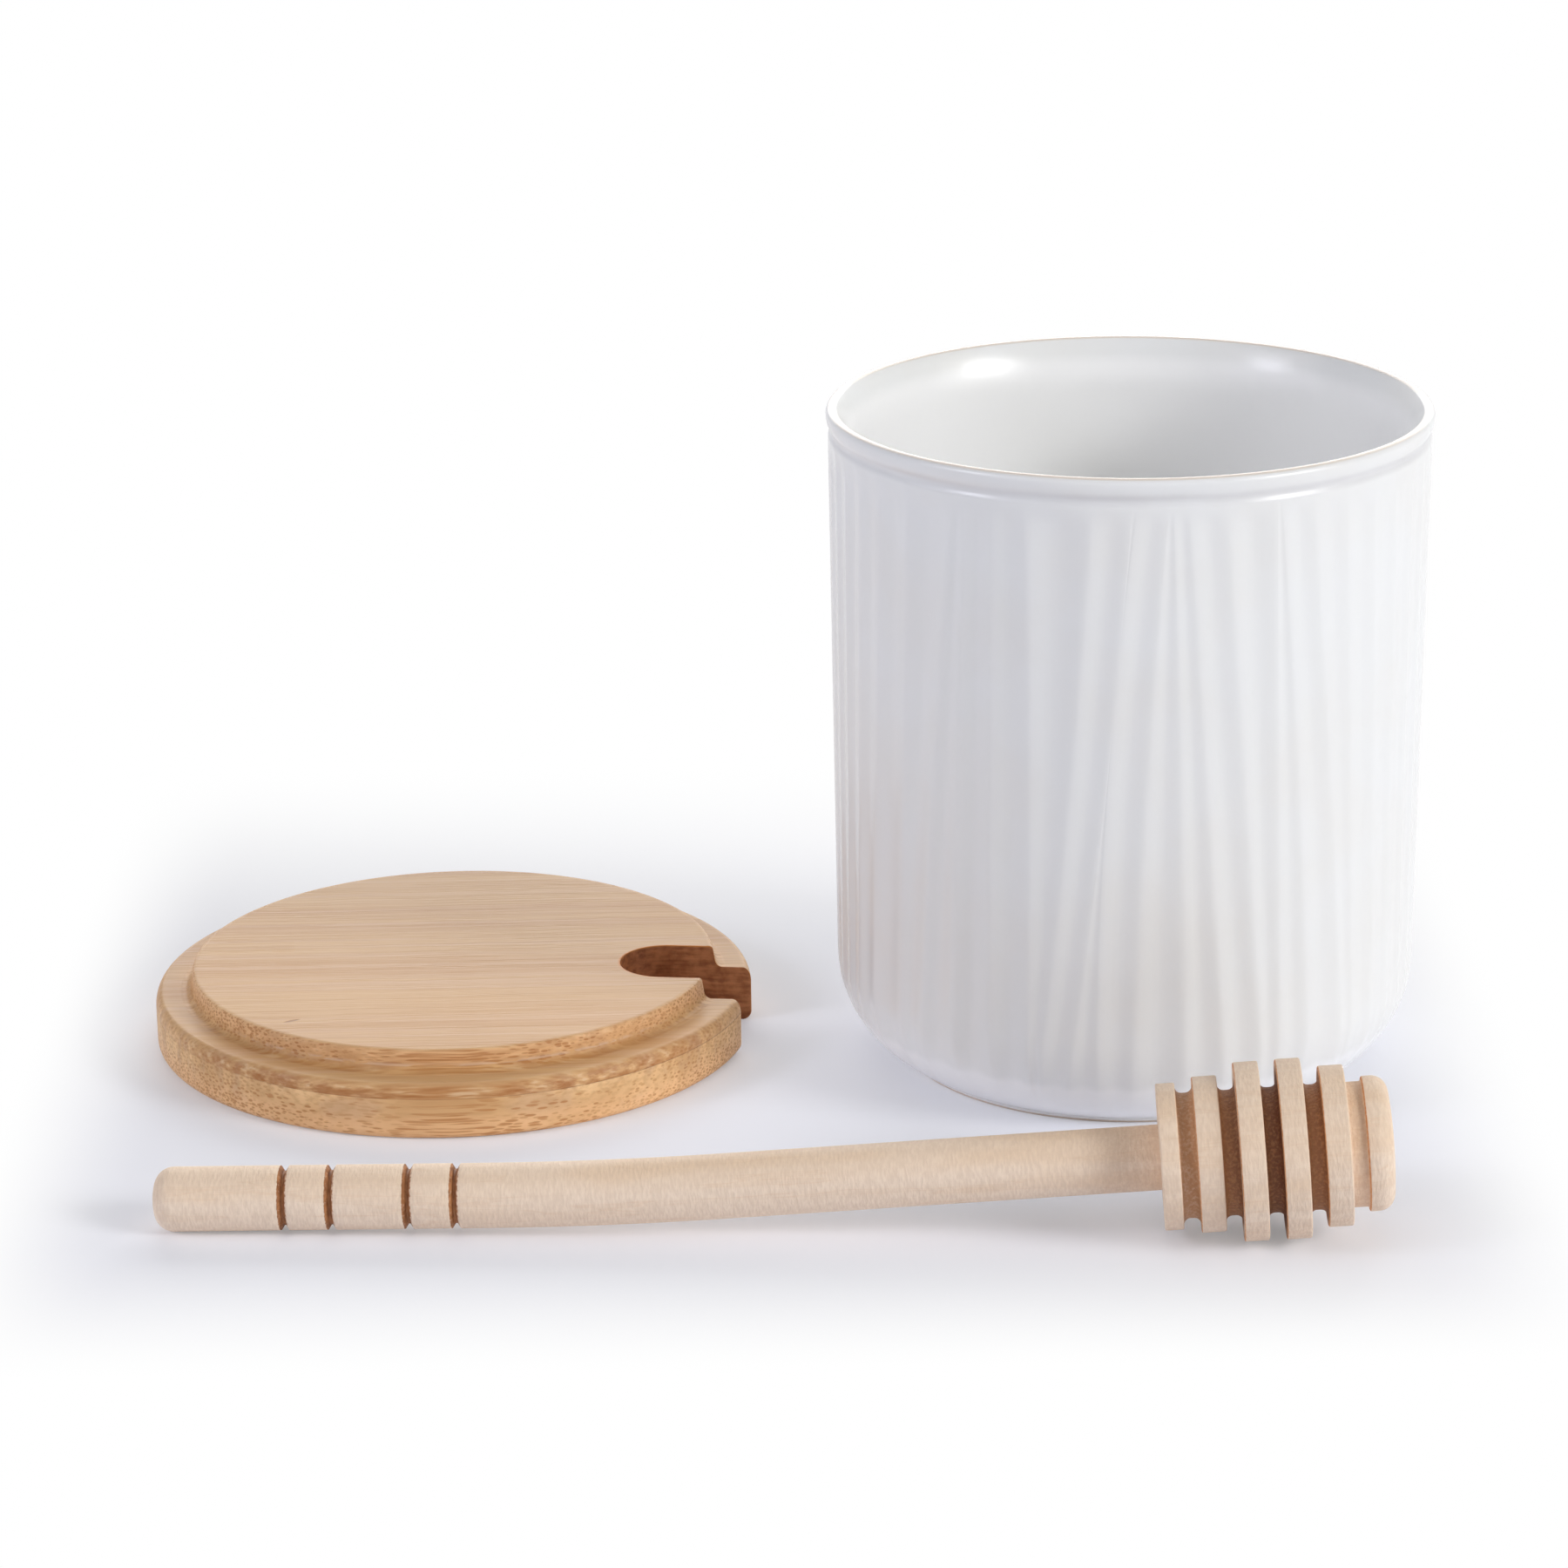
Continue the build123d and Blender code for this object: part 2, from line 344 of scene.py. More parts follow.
glaze, tree, shader = new_finish("satin_white_glaze", glaze_roughness, IOR=1.45)
at = shade(tree, "TexCoord").outputs["Object"]
flat = shade(tree, "Mapping", {"Vector": at, "Scale": (1.0, 1.0, 0.0)}).outputs[0]
reach = shade(tree, "VectorMath", {0: flat}, operation="LENGTH").outputs["Value"]
height = shade(tree, "SeparateXYZ", {0: at}).outputs["Z"]
cloudy = shade(tree, "TexNoise", {"Vector": at, "Scale": 55.0, "Detail": 3.0}).outputs["Fac"]
coat = tint(tree, ease(tree, cloudy, 0.35, 0.68, at_high=0.22), glaze_white, glaze_warm)
# Painted light: the inside is given a lighter white than the outside, standing in for the light that
# bounces round inside the pot.
coat = tint(tree, ease(tree, reach, *inside_edge), coat, glaze_inside_painted_light)
crest = ease(tree, height, *crest_edge, at_high=0.8)
coat = tint(tree, crest, coat, glaze_thin)
# Painted shade: the glaze is greyed in the groove under the rim, where shade falls.
from_groove = sum_up(tree, "ABSOLUTE", sum_up(tree, "SUBTRACT", height, groove_middle))
outside_wall = ease(tree, reach, *outside_edge)
groove_shade = sum_up(tree, "MULTIPLY", ease(tree, from_groove, *groove_edge), outside_wall)
groove_shade = sum_up(tree, "MULTIPLY", groove_shade, ease(tree, cloudy, 0.3, 0.7, at_low=0.5))
coat = tint(tree, sum_up(tree, "MULTIPLY", groove_shade, 0.6), coat, glaze_groove_shade)
wavering = sum_up(tree, "ADD", height, sum_up(tree, "MULTIPLY", cloudy, bare_waver))
bare = ease(tree, wavering, *bare_edge)
tree.links.new(tint(tree, bare, coat, bisque), shader.inputs["Base Color"])
dryness = ease(tree, bare, 0, 1, at_low=glaze_roughness, at_high=bisque_roughness)
tree.links.new(dryness, shader.inputs["Roughness"])
dimples = shade(tree, "TexNoise", {"Vector": at, "Scale": 700.0, "Detail": 2.0}).outputs["Fac"]
skin = shade(tree, "Bump", {"Height": dimples, "Strength": 0.08, "Distance": 0.0002}).outputs[0]
tree.links.new(skin, shader.inputs["Normal"])

finish_piece(clay, "pot_body", glaze, "pot", ["pot"], crease=40)


# ---- The lid
# A board of two bamboo plies glued flat, turned to a flange and a plug that drops into the mouth.
# A slot for the dipper's stick is then milled through both, and the cutter scorches its walls.

lid_centre = Vector((-89.737, 7.504, 0))
slot_bearing = -6.2
flange_radius = 40.05
plug_radius = 35.25
lid_thickness = 10.4
flange_thickness = 7.5
cap_ply_thickness = 5.6
flange_edge_round = 1.3
step_round_width = 1.1
step_round_height = 1.8
plug_taper = 0.25
plug_root_round = 1.0
plug_edge_bevel = 0.35
slot_half = 6.03
slot_end = 28.73
slot_edge_break = 0.1
slot_corner_round = 0.12
glue_line_break = 0.015
face_margin = 0.4
cap_band_height = 3.2
root_margin = 0.5
plug_middle_height = 9.4
plug_middle_share = 0.4
bevel_share = 0.35
cove_out = 0.6
cove_up = 0.4
cove_reach = 1.1
edge_scorch = 0.4

rim_steps = 260
corner_steps = 4
wall_steps = 10
end_steps = 28
edge_steps = 8
lid_outline = (
    [("rim", step / rim_steps) for step in range(rim_steps + 1)]
    + [("near corner", step / corner_steps) for step in range(1, corner_steps)]
    + [("near wall", step / wall_steps) for step in range(wall_steps)]
    + [("round end", step / end_steps) for step in range(end_steps + 1)]
    + [("far wall", 1 - step / wall_steps) for step in reversed(range(wall_steps))]
    + [("far corner", step / corner_steps) for step in range(1, corner_steps)]
)


def lid_place(part, share, radius, half_slot):
    """Where a point of the lid's outline lies, for a radius and half the slot's width."""
    corner_angle = asin(half_slot / radius)
    corner = Vector((radius * cos(corner_angle), half_slot))
    eased = corner_angle + slot_corner_round / radius
    side = -1 if part.startswith("near") else 1
    if part == "rim":
        angle = eased + share * (2 * pi - 2 * eased)
        return Vector((radius * cos(angle), radius * sin(angle)))
    if part == "round end":
        angle = -pi / 2 - share * pi
        return Vector((slot_end + half_slot * cos(angle), half_slot * sin(angle)))
    wall_start = corner.x - slot_corner_round
    if part.endswith("wall"):
        along = share if part == "near wall" else 1 - share
        return Vector((wall_start + (slot_end - wall_start) * along, side * half_slot))
    rim_end = Vector((radius * cos(eased), radius * sin(eased)))
    wall_end = Vector((wall_start, half_slot))
    start, end = (rim_end, wall_end) if part == "near corner" else (wall_end, rim_end)
    bent = start.lerp(corner, share).lerp(corner.lerp(end, share), share)
    return Vector((bent.x, side * bent.y))


def round_steps(radius, height, size, start, turn, steps):
    """Radii and heights along an arc about a centre, in degrees from outwards."""
    angles = [radians(start + turn * step / steps) for step in range(steps + 1)]
    return [(radius + size * cos(angle), height + size * sin(angle)) for angle in angles]


def turn_ply(rings):
    """Build a ply from rings: radius, height, half the slot's width, how scorched, how sanded."""
    ply = bmesh.new()
    place_layer = ply.verts.layers.int.new("place")
    scorch_layer = ply.verts.layers.float.new("scorch")
    face_layer = ply.verts.layers.float.new("sanded")
    cove_layer = ply.verts.layers.float.new("cove")
    made = bmesh.ops.create_circle(ply, cap_ends=False, radius=1, segments=len(lid_outline))
    for place, point in enumerate(made["verts"]):
        point[place_layer] = place
    ring = made["verts"]
    edges = ply.edges[:]
    bmesh.ops.edgeloop_fill(ply, edges=edges)
    for number, (radius, height, half_slot, scorch, face) in enumerate(rings):
        if number:
            grown = bmesh.ops.extrude_edge_only(ply, edges=edges)["geom"]
            ring = [part for part in grown if isinstance(part, bmesh.types.BMVert)]
            edges = [part for part in grown if isinstance(part, bmesh.types.BMEdge)]
            ring_points = set(ring)
            edges = [edge for edge in edges if set(edge.verts) <= ring_points]
        for point in ring:
            part, share = lid_outline[point[place_layer]]
            spot = lid_place(part, share, radius, half_slot)
            point.co = (spot.x, spot.y, height)
            in_slot = 0 if part == "rim" else 1
            if part.endswith("corner"):
                in_slot = share if part == "near corner" else 1 - share
            point[scorch_layer] = scorch * in_slot
            point[face_layer] = face
            from_cove = hypot(radius - plug_radius - cove_out, height - flange_thickness - cove_up)
            above_glue = height > cap_ply_thickness
            point[cove_layer] = max(0, 1 - from_cove / cove_reach) if above_glue else 0
    bmesh.ops.edgeloop_fill(ply, edges=edges)
    bmesh.ops.rotate(ply, matrix=Matrix.Rotation(radians(slot_bearing), 3, "Z"), verts=ply.verts)
    bmesh.ops.translate(ply, vec=lid_centre, verts=ply.verts)
    return ply


half = slot_half
broken = slot_half + slot_edge_break
inner = slot_half + slot_edge_break + face_margin
flange_round_centre = flange_radius - flange_edge_round

cap_profile = round_steps(
    flange_round_centre, flange_edge_round, flange_edge_round, start=-90, turn=90, steps=edge_steps
)
cap_rings = [
    (flange_round_centre - face_margin, 0, inner, 0, 1),
    (flange_round_centre, 0, broken, edge_scorch, 1),
]
cap_rings += [(radius, height, half, 1, 0) for radius, height in cap_profile[1:]]
glue = cap_ply_thickness
cap_rings += [
    (flange_radius, cap_band_height, half, 1, 0),
    (flange_radius, glue - glue_line_break, half, 1, 0),
    (flange_radius - glue_line_break, glue, half + glue_line_break, 1, 0),
    (flange_radius - 2 * face_margin, glue, inner, 0, 1),
]
cap_ply = turn_ply(cap_rings)

step_turns = [radians(90 * step / edge_steps) for step in range(edge_steps + 1)]
step_inside = flange_radius - step_round_width
step_bottom = flange_thickness - step_round_height
step_profile = [
    (step_inside + step_round_width * cos(turn), step_bottom + step_round_height * sin(turn))
    for turn in step_turns
]
root_out = plug_radius + plug_root_round
root_up = flange_thickness + plug_root_round
root_profile = round_steps(root_out, root_up, plug_root_round, start=-90, turn=-84, steps=6)
plug_top = lid_thickness
plug_top_radius = plug_radius - plug_taper
bevel_corner = plug_edge_bevel * bevel_share
plug_rings = [
    (flange_radius - 2 * face_margin, glue, inner, 0, 1),
    (flange_radius - glue_line_break, glue, half + glue_line_break, 1, 0),
    (flange_radius, glue + glue_line_break, half, 1, 0),
]
plug_rings += [
    (radius, height, half, 1, (step / edge_steps) ** 2)
    for step, (radius, height) in enumerate(step_profile)
]
plug_rings += [(step_inside - face_margin, flange_thickness, half, 1, 1)]
plug_rings += [(root_out + root_margin, flange_thickness, half, 1, 0.8)]
plug_rings += [(radius, height, half, 1, 0) for radius, height in root_profile]
plug_rings += [
    (plug_top_radius + plug_taper * plug_middle_share, plug_middle_height, half, 1, 0),
    (plug_top_radius, plug_top - plug_edge_bevel, half, 1, 0),
    (plug_top_radius - bevel_corner, plug_top - bevel_corner, half, 0.8, 0.2),
    (plug_top_radius - plug_edge_bevel, plug_top, broken, edge_scorch, 0.8),
    (plug_top_radius - plug_edge_bevel - face_margin, plug_top, inner, 0, 1),
]
plug_ply = turn_ply(plug_rings)

grain_bearing = 1.5
grain_wander = 0.9
dot_stretch = 0.03
dot_rows_lean = 0.35
dot_fade_outside = 0.1
dot_fade_inside = 0.06
nick_place = (-0.1094, -0.0163, 0.0104)
nick_size = (0.0014, 0.00035, 0.0006)
nick_turn = 28
pale_fibre = colour(247, 205, 151)
sanded_face = colour(213, 171, 121)
strip_tan = colour(196, 147, 98)
strip_pink = colour(214, 174, 135)
dense_tan = colour(251, 204, 152)
bundle_brown = colour(184, 120, 66)
streak_brown = colour(164, 98, 48)
streak_cream = colour(236, 206, 166)
glue_brown = colour(140, 92, 56)
cove_painted_shade = colour(176, 130, 70)
painted_highlight_white = colour(250, 238, 224)
scorch_edge = colour(212, 134, 58)
scorched_dark = colour(146, 90, 56)
scorched_light = colour(192, 128, 84)

# Spans in mm over which marks and the painted highlight on the side come in: by height, from the
# glue line, by X and by Y.
streak_heights = (8.3, 7.3)
highlight_heights = (8.2, 8.5)
seam_edge = (0.08, 0.03)
seam_run = (-95.0, -65.0)
streak_front = (-8.0, -26.0)
highlight_front = (-8.0, -20.0)


def grown_dots(tree, along, across, up, size, pull):
    """Fibre bundles cut across: dots in loose rows, each as long as its strip."""
    scale = (dot_stretch, 1 / across, 1 / up)
    lean = {"Vector": along, "Scale": scale, "Rotation": (dot_rows_lean, 0, 0)}
    rows = shade(tree, "Mapping", lean).outputs[0]
    dots = shade(tree, "TexVoronoi", {"Vector": rows, "Scale": 1.0, "Randomness": 0.7})
    edge = (size + dot_fade_outside, size - dot_fade_inside)
    dot = ease(tree, dots.outputs["Distance"], *edge)
    pick = shade(tree, "SeparateColor", {0: dots.outputs["Color"]}).outputs[0]
    dot = sum_up(tree, "MULTIPLY", dot, ease(tree, pick, 0.0, 0.5, at_low=0.4))
    return sum_up(tree, "MULTIPLY", dot, pull)


def bamboo(name, dense, loose, streaky):
    """Bamboo, fibres along X, crowding from a loose height to a dense one in mm, streaky or not."""
    material, tree, shader = new_finish(name, 0.4, IOR=1.45, Specular_IOR_Level=0.15)
    at = shade(tree, "TexCoord").outputs["Object"]
    turn = {"Vector": at, "Rotation": (0, 0, radians(-grain_bearing)), "Scale": (1000, 1000, 1000)}
    straight = shade(tree, "Mapping", turn).outputs[0]
    place = shade(tree, "SeparateXYZ", {0: straight}).outputs
    height = place["Z"]
    wander = shade(tree, "TexNoise", {"Vector": straight, "Scale": 0.09, "Detail": 2.0})
    centred = {0: wander.outputs["Color"], 1: (0.5, 0.5, 0.5)}
    drift = shade(tree, "VectorMath", centred, operation="SUBTRACT").outputs[0]
    scaled = {0: drift, "Scale": grain_wander}
    drift = shade(tree, "VectorMath", scaled, operation="SCALE").outputs[0]
    along = shade(tree, "VectorMath", {0: straight, 1: drift}, operation="ADD").outputs[0]

    # Bundles crowd towards one face of the ply, where the rind of the cane was.
    face = attribute(tree, "sanded")
    side = ease(tree, face, 0, 1, at_low=1.0, at_high=0.0)
    crowd = ease(tree, height, loose, dense)
    patchy = drawn_out(tree, along, (0.05, 0.25, 0.5), detail=2.0)
    pull = ease(tree, crowd, 0.0, 0.45, at_low=0.6)
    wide = grown_dots(tree, along, across=0.6, up=0.46, size=0.35, pull=pull)
    pull = ease(tree, crowd, 0.4, 1.0, at_high=0.8)
    fine = grown_dots(tree, along, across=0.44, up=0.36, size=0.32, pull=pull)
    bundle = sum_up(tree, "MAXIMUM", wide, fine)

    thread = drawn_out(tree, along, (0.016, 1.7, 1.7), detail=3.0)
    strip = drawn_out(tree, along, (0.003, 0.22, 0.06), detail=2.0)
    band = drawn_out(tree, along, (0.007, 0.5, 0.2), detail=2.0)

    wood = tint(tree, face, pale_fibre, sanded_face)
    wood = tint(tree, ease(tree, strip, 0.35, 0.65, at_high=0.6), wood, strip_tan)
    wood = tint(tree, ease(tree, band, 0.46, 0.66, at_high=0.65), wood, strip_pink)
    wood = tint(tree, ease(tree, thread, 0.4, 0.7, at_high=0.42), wood, strip_tan)
    rind = sum_up(tree, "MULTIPLY", ease(tree, crowd, 0.2, 1.0, at_high=0.7), side)
    rind = sum_up(tree, "MULTIPLY", rind, ease(tree, patchy, 0.3, 0.6, at_low=0.6))
    wood = tint(tree, rind, wood, dense_tan)
    showing = ease(tree, face, 0, 1, at_low=0.66, at_high=0.05)
    wood = tint(tree, sum_up(tree, "MULTIPLY", bundle, showing), wood, bundle_brown)

    # Brown and cream streaks run along the plug ply's side, most of all low down and in front.
    streak = drawn_out(tree, along, (0.11, 0.9, 1.5), detail=3.0)
    low = ease(tree, height, *streak_heights, at_low=0.5)
    frontal = ease(tree, place["Y"], *streak_front, at_low=0.35)
    reach = sum_up(tree, "MULTIPLY", sum_up(tree, "MULTIPLY", low, side), frontal)
    reach = sum_up(tree, "MULTIPLY", reach, streaky)
    brown = ease(tree, streak, 0.36, 0.66, at_low=0.2, at_high=0.75)
    wood = tint(tree, sum_up(tree, "MULTIPLY", reach, brown), wood, streak_brown)
    cream = ease(tree, streak, 0.42, 0.32, at_high=0.6)
    wood = tint(tree, sum_up(tree, "MULTIPLY", reach, cream), wood, streak_cream)

    # The glue line, painted shade in the cove at the plug's root, and a painted highlight in broken
    # streaks along the top of the cove.
    from_glue = sum_up(tree, "SUBTRACT", height, cap_ply_thickness)
    seam = ease(tree, sum_up(tree, "ABSOLUTE", from_glue), *seam_edge)
    rightward = ease(tree, place["X"], *seam_run, at_low=0.1, at_high=0.5)
    wood = tint(tree, sum_up(tree, "MULTIPLY", seam, rightward), wood, glue_brown)
    # Painted shade: the cove at the plug's root is tinted a darker olive, where shade falls.
    cove = attribute(tree, "cove")
    wood = tint(tree, sum_up(tree, "MULTIPLY", cove, 0.5), wood, cove_painted_shade)
    # Painted highlight: whitish broken streaks along the top of the cove, where the lamps would
    # glint on the rounded wood.
    cove_highlight = sum_up(tree, "MULTIPLY", ease(tree, cove, 0.15, 0.5), ease(tree, cove, 0.9, 0.5))
    cove_highlight = sum_up(tree, "MULTIPLY", cove_highlight, ease(tree, height, *highlight_heights))
    cove_highlight = sum_up(tree, "MULTIPLY", cove_highlight, ease(tree, place["Y"], *highlight_front))
    cove_highlight = sum_up(tree, "MULTIPLY", cove_highlight, ease(tree, streak, 0.42, 0.52, at_high=0.9))
    wood = tint(tree, cove_highlight, wood, painted_highlight_white)

    # The slot's walls are scorched, with an orange edge where the scorching ends.
    scorch = attribute(tree, "scorch")
    mottle = shade(tree, "TexNoise", {"Vector": along, "Scale": 0.7, "Detail": 3.0}).outputs["Fac"]
    mottle = sum_up(tree, "MULTIPLY", mottle, 0.5)
    mottle = sum_up(tree, "ADD", mottle, sum_up(tree, "MULTIPLY", thread, 0.5))
    burn = tint(tree, ease(tree, mottle, 0.35, 0.62), scorched_dark, scorched_light)
    wood = tint(tree, ease(tree, scorch, 0.02, 0.45), wood, scorch_edge)
    wood = tint(tree, ease(tree, scorch, 0.45, 0.95), wood, burn)

    # One small knock on the plug's face.
    nick_lie = (0, 0, radians(nick_turn))
    knock = {"Vector": at, "Location": nick_place, "Rotation": nick_lie, "Scale": nick_size}
    from_nick = shade(tree, "Mapping", knock, vector_type="TEXTURE").outputs[0]
    nick = shade(tree, "VectorMath", {0: from_nick}, operation="LENGTH").outputs["Value"]
    nick = ease(tree, nick, 1.0, 0.45)
    wood = tint(tree, sum_up(tree, "MULTIPLY", nick, 0.7), wood, glue_brown)
    tree.links.new(wood, shader.inputs["Base Color"])

    relief = sum_up(tree, "ADD", sum_up(tree, "MULTIPLY", bundle, -0.5), thread)
    ragged = sum_up(tree, "MULTIPLY", streak, ease(tree, side, 0, 1, at_high=1.5))
    relief = sum_up(tree, "ADD", relief, ragged)
    relief = sum_up(tree, "ADD", relief, sum_up(tree, "MULTIPLY", nick, -1.5))
    grain = shade(tree, "Bump", {"Height": relief, "Strength": 0.35, "Distance": 0.00014})
    tree.links.new(grain.outputs[0], shader.inputs["Normal"])
    return material


cap_bamboo = bamboo("bamboo_cap_ply", dense=1.2, loose=5.4, streaky=0.0)
plug_bamboo = bamboo("bamboo_plug_ply", dense=9.4, loose=7.2, streaky=1.0)
finish_piece(cap_ply, "lid_cap_board", cap_bamboo, "lid", ["lid_cap_ply"], crease=50)
finish_piece(plug_ply, "lid_plug_board", plug_bamboo, "lid", ["lid_plug_ply"], crease=50)


# ---- The dipper
# One piece of pale wood turned on a lathe: a long stick with four burnt rings near its tail, and a
# head of six discs that hold the honey between them. The stick has bowed a little in drying.

stick_radius = 3.96
stick_length = 122.5
tail_dome = 2.4
straight_tail = 40.0
bowed_length = 29.5
bow_angle = radians(3.36)
burnt_rings = (16.05, 21.8, 31.25, 37.0)
burnt_ring_width = 1.05
burnt_ring_depth = 0.65
burnt_ring_floor = 0.14
ring_lip_lead = 0.1
ring_lip_drop = 0.03
ring_gap_step = 1.6
least_burnt_tailward = 0.65
least_burnt_headward = 0.25
disc_radii = (8.85, 9.4, 10.8, 10.85, 9.7, 8.15)
disc_starts = (0.0, 4.37, 9.44, 14.51, 19.58, 24.65)
disc_thicknesses = (2.3, 3.0, 3.0, 3.0, 3.0, 3.1)
end_disc_round = 2.0
end_disc_dome = 0.25
end_round_turn = 80
dome_pull_in = 3.0
dome_pull_up = 0.1
core_radius = 7.55
disc_edge_round = 0.2
disc_edge_lead = 0.15
gap_root_round = 0.8
# The gaps between the discs are darkened, partly brown stain and partly painted shade, and the
# stick's end by the head gets a painted shadow of the head.
gap_stain_and_shade = (0.5, 0.85, 1.0, 0.8, 0.2)
shaded_end = 0.15
shaded_end_reach = 13.0
shaded_end_fade = 8.0
gap_dark_lead = 0.3
gap_dark_spread = 1.3
gap_dark_at_start = 0.7
# The discs' left edges get painted light: an orange glow of light coming through the thin wood
# there.
edge_light_length = 0.12
edge_light_depth = 0.4
near_enough = 0.01
tail_tip = Vector((-122.34, -59.53, 3.928))
dipper_bearing = radians(-2.54)
dipper_tilt = radians(1.0017)
turned_steps = 144

wood = bmesh.new()
burnt_layer = wood.verts.layers.float.new("burnt")
stain_and_shade_layer = wood.verts.layers.float.new("stain_and_shade")
edge_layer = wood.verts.layers.float.new("painted_edge_light")
turned_layer = wood.verts.layers.float_vector.new("turned")

# The template is drawn standing on its tail and turned round the vertical axis.
point = wood.verts.new((0, 0, 0))
point = carry_on(wood, point, stick_radius - tail_dome, 0, steps=2)
point = swing(wood, point, stick_radius - tail_dome, tail_dome, turn=-90, steps=10)
length = tail_dome
for ring in burnt_rings:
    lip = ring - burnt_ring_width / 2
    ring_steps = max(2, round((lip - length) / ring_gap_step))
    point = carry_on(wood, point, stick_radius, lip - ring_lip_lead, steps=ring_steps)
    point = carry_on(wood, point, stick_radius - ring_lip_drop, lip)
    point = carry_on(wood, point, stick_radius - burnt_ring_depth, ring - burnt_ring_floor, steps=3)
    point = carry_on(wood, point, stick_radius - burnt_ring_depth, ring + burnt_ring_floor)
    far_lip = ring + burnt_ring_width / 2
    point = carry_on(wood, point, stick_radius - ring_lip_drop, far_lip, steps=3)
    length = far_lip + ring_lip_lead
    point = carry_on(wood, point, stick_radius, length)
point = carry_on(wood, point, stick_radius, stick_length, steps=60)
for number, (start, thickness, radius) in enumerate(zip(disc_starts, disc_thicknesses, disc_radii)):
    left = stick_length + start
    right = left + thickness
    edge = disc_edge_round
    root = min(gap_root_round, (radius - core_radius) / 2)
    if number:
        point = carry_on(wood, point, core_radius, left - root, steps=3)
        point = swing(wood, point, core_radius + root, left - root, turn=90, steps=5)
    point = carry_on(wood, point, radius - edge - disc_edge_lead, left, steps=5)
    point = carry_on(wood, point, radius - edge, left)
    point = swing(wood, point, radius - edge, left + edge, turn=-90, steps=4)
    if number == len(disc_radii) - 1:
        point = carry_on(wood, point, radius, right - end_disc_round, steps=3)
        round_at = (radius - end_disc_round, right - end_disc_round)
        point = swing(wood, point, *round_at, turn=-end_round_turn, steps=10)
        top = right + end_disc_dome
        into_dome = (radius - dome_pull_in, right + dome_pull_up)
        sway(wood, point, into_dome, (radius / 2, top), (0, top), steps=8)
        break
    root = min(gap_root_round, (disc_radii[number + 1] - core_radius) / 2)
    point = carry_on(wood, point, radius, right - edge, steps=4)
    point = swing(wood, point, radius - edge, right - edge, turn=-90, steps=4)
    point = carry_on(wood, point, radius - edge - disc_edge_lead, right)
    point = carry_on(wood, point, core_radius + root, right, steps=5)
    point = swing(wood, point, core_radius + root, right + root, turn=90, steps=5)
# Each point carries how burnt it is, how much brown stain and painted shade it has, and how much
# painted edge light.
for point in wood.verts:
    radius, length = point.co.x, point.co.z
    nearest = min(burnt_rings, key=lambda ring: abs(ring - length))
    if abs(length - nearest) < burnt_ring_width / 2 + near_enough:
        sunk = (stick_radius - radius) / burnt_ring_depth
        least = least_burnt_tailward if length < nearest else least_burnt_headward
        point[burnt_layer] = max(sunk, least)
    beyond = length - stick_length
    # Painted shadow: the stick darkens towards the head, where the head's shadow falls on it.
    if radius < stick_radius + near_enough:
        point[stain_and_shade_layer] = shaded_end * steady((beyond + shaded_end_reach) / shaded_end_fade)
    for number, gap_darkening in enumerate(gap_stain_and_shade):
        left = disc_starts[number] + disc_thicknesses[number]
        right = disc_starts[number + 1]
        if left - near_enough < beyond < right + near_enough:
            lip = min(disc_radii[number], disc_radii[number + 1])
            sunk = steady((lip - radius) / (lip - core_radius - gap_dark_lead) * gap_dark_spread)
            across_gap = (beyond - left) / (right - left)
            towards_end = gap_dark_at_start + (1 - gap_dark_at_start) * across_gap
            point[stain_and_shade_layer] = gap_darkening * sunk * towards_end
    for start, disc in zip(disc_starts[1:], disc_radii[1:]):
        if abs(beyond - start) < edge_light_length and radius > disc - edge_light_depth:
            point[edge_layer] = 1
turn_full(wood, turned_steps)

# The stick lies straight, then bends upwards along an arc, then runs straight on into the head.
bow_radius = bowed_length / bow_angle
dipper_side = Vector((0, -1, 0))
dipper_side.rotate(Matrix.Rotation(dipper_bearing, 3, "Z"))
dipper_heading = Vector((1, 0, 0))
dipper_heading.rotate(Matrix.Rotation(dipper_bearing, 3, "Z"))
dipper_heading.rotate(Matrix.Rotation(dipper_tilt, 3, dipper_side))
dipper_up = dipper_side.cross(dipper_heading)
for fibre in wood.verts:
    across, up, length = fibre.co.x, fibre.co.y, fibre.co.z
    fibre[turned_layer] = (length, across, up)
    bowed = min(max(length - straight_tail, 0), bowed_length)
    slope = bowed / bow_radius
    on_axis = min(length, straight_tail) + bow_radius * sin(slope)
    rise = bow_radius * (1 - cos(slope))
    beyond = max(length - straight_tail - bowed_length, 0)
    on_axis += beyond * cos(slope) - up * sin(slope)
    rise += beyond * sin(slope) + up * cos(slope)
    fibre.co = tail_tip + on_axis * dipper_heading + rise * dipper_up + across * dipper_side

wood_pale = colour(251, 230, 207)
wood_streak = colour(234, 204, 173)
wood_warm = colour(243, 209, 170)
nap_shade = colour(212, 184, 160)
ring_line = colour(222, 176, 130)
stain_and_shade_light = colour(194, 144, 102)
stain_and_shade_dark = colour(140, 92, 65)
edge_light_orange = colour(212, 138, 72)
char_dark = colour(140, 90, 54)
char_light = colour(184, 126, 80)

